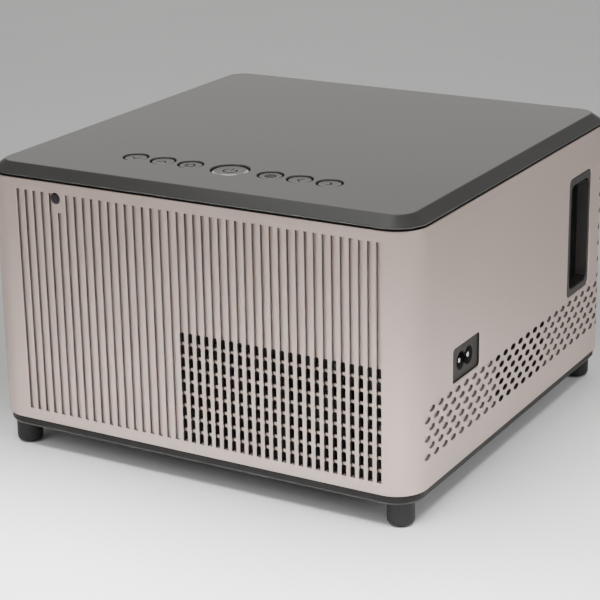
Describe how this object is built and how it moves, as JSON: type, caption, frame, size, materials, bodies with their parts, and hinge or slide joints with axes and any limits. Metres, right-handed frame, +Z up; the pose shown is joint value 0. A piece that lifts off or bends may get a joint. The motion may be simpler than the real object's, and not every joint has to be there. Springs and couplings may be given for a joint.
{
  "type": "projector with disc player",
  "caption": "Square table-top projector with a grooved and dimpled shell, dark bevelled lid with round keys, socket bay, front lens and a disc drawer on its side.",
  "frame": {"origin": "on the table, below the middle of the case", "axes": "+Z up, -Y towards the grooved rear with the air vent, +X towards the side with the sockets, -X the disc drawer's side, +Y the lens side"},
  "size_m": [0.216, 0.216, 0.136],
  "materials": {
    "shell": "satin metallic paint",
    "lid": "semi-gloss",
    "base": "fine texture",
    "rubber": "matt",
    "brass": "machined",
    "board": "solder mask",
    "dark": "matt",
    "window": "dark clear",
    "steel": "plain",
    "alloy": "plain",
    "white": "matt",
    "glass": "polished",
    "yellow": "tape wound"
  },
  "bodies": {
    "case": {"outer_shell": "shell", "top_cover": "lid", "base_plate": "base", "feet": "rubber", "tripod_insert": "brass", "key_board": "board", "key_switches": "dark", "receiver_window": "window", "receiver_board": "board", "mains_inlet": "base", "inlet_pins": "steel", "socket_bay": "base", "usb_socket": "steel", "hdmi_socket": "steel", "video_jack_socket": "dark", "sound_jack_socket": "dark", "socket_board": "board", "left_fan_frame": "dark", "right_fan_frame": "dark", "light_heat_sink": "alloy", "light_module": "white", "engine_housing": "dark", "condenser_holder": "dark", "condenser_lens": "glass", "rear_ray_plate": "glass", "picture_panel": "window", "front_ray_plate": "glass", "lens_bezel": "lid", "main_board": "board", "processor_cooler": "alloy", "power_board": "board", "transformer": "yellow", "capacitor": "dark", "speaker": "dark", "drive_pillars": "steel", "drive_chassis": "steel", "drive_cover": "steel"},
    "down_key": {"down_key": "lid"},
    "up_key": {"up_key": "lid"},
    "home_key": {"home_key": "lid"},
    "power_key": {"power_key": "lid"},
    "settings_key": {"settings_key": "lid"},
    "left_key": {"left_key": "lid"},
    "right_key": {"right_key": "lid"},
    "left_impeller": {"left_impeller": "dark"},
    "right_impeller": {"right_impeller": "dark"},
    "focus_ring": {"focus_ring": "rubber"},
    "lens_barrel": {"lens_barrel": "dark", "front_glass": "glass", "rear_glass": "glass"},
    "rails": {"drive_rails": "dark"},
    "drawer": {"drawer_tray": "dark", "drawer_front": "lid", "spindle_motor": "steel", "guide_rods": "steel", "feed_motor": "steel"},
    "spindle_hub": {"spindle_hub": "dark"},
    "pickup_sled": {"pickup_sled": "alloy"},
    "lead_screw": {"lead_screw": "steel"},
    "eject_key": {"eject_key": "lid"}
  },
  "joints": [
    {"name": "down_press", "type": "slide", "parent": "case", "child": "down_key", "axis": [0, 0, -1], "range_m": [0, 0.0006], "stiffness_N_per_m": 400},
    {"name": "up_press", "type": "slide", "parent": "case", "child": "up_key", "axis": [0, 0, -1], "range_m": [0, 0.0006], "stiffness_N_per_m": 400},
    {"name": "home_press", "type": "slide", "parent": "case", "child": "home_key", "axis": [0, 0, -1], "range_m": [0, 0.0006], "stiffness_N_per_m": 400},
    {"name": "power_press", "type": "slide", "parent": "case", "child": "power_key", "axis": [0, 0, -1], "range_m": [0, 0.0006], "stiffness_N_per_m": 400},
    {"name": "settings_press", "type": "slide", "parent": "case", "child": "settings_key", "axis": [0, 0, -1], "range_m": [0, 0.0006], "stiffness_N_per_m": 400},
    {"name": "left_press", "type": "slide", "parent": "case", "child": "left_key", "axis": [0, 0, -1], "range_m": [0, 0.0006], "stiffness_N_per_m": 400},
    {"name": "right_press", "type": "slide", "parent": "case", "child": "right_key", "axis": [0, 0, -1], "range_m": [0, 0.0006], "stiffness_N_per_m": 400},
    {"name": "left_fan_spin", "type": "hinge", "parent": "case", "child": "left_impeller", "pos_m": [0.0197, -0.0972, 0.046], "axis": [0, 1, 0], "continuous": true},
    {"name": "right_fan_spin", "type": "hinge", "parent": "case", "child": "right_impeller", "pos_m": [0.0699, -0.0972, 0.046], "axis": [0, 1, 0], "continuous": true},
    {"name": "focus_turn", "type": "hinge", "parent": "case", "child": "focus_ring", "pos_m": [0.028, 0.092, 0.06], "axis": [0, 1, 0], "range_deg": [0, 120]},
    {"name": "lens_slide", "type": "slide", "parent": "case", "child": "lens_barrel", "axis": [0, 1, 0], "range_m": [0, 0.006]},
    {"name": "drawer_slide", "type": "slide", "parent": "case", "child": "drawer", "axis": [-1, 0, 0], "range_m": [0, 0.12]},
    {"name": "rail_slide", "type": "slide", "parent": "case", "child": "rails", "axis": [-1, 0, 0], "range_m": [0, 0.06]},
    {"name": "disc_spin", "type": "hinge", "parent": "drawer", "child": "spindle_hub", "pos_m": [-0.043, 0, 0.105], "axis": [0, 0, 1], "continuous": true},
    {"name": "sled_slide", "type": "slide", "parent": "drawer", "child": "pickup_sled", "axis": [-0.7071, -0.7071, 0], "range_m": [0, 0.033]},
    {"name": "feed_turn", "type": "hinge", "parent": "drawer", "child": "lead_screw", "pos_m": [-0.05219, 0.00919, 0.1052], "axis": [-0.7071, -0.7071, 0], "range_deg": [0, 3960]},
    {"name": "eject_press", "type": "slide", "parent": "drawer", "child": "eject_key", "axis": [1, 0, 0], "range_m": [0, 0.0005], "stiffness_N_per_m": 300}
  ],
  "couplings": [
    {"joint": "lens_slide", "follows": "focus_turn", "m_per_rad": 0.0028647},
    {"joint": "rail_slide", "follows": "drawer_slide", "ratio": 0.5},
    {"joint": "feed_turn", "follows": "sled_slide", "rad_per_m": 2094.3}
  ]
}
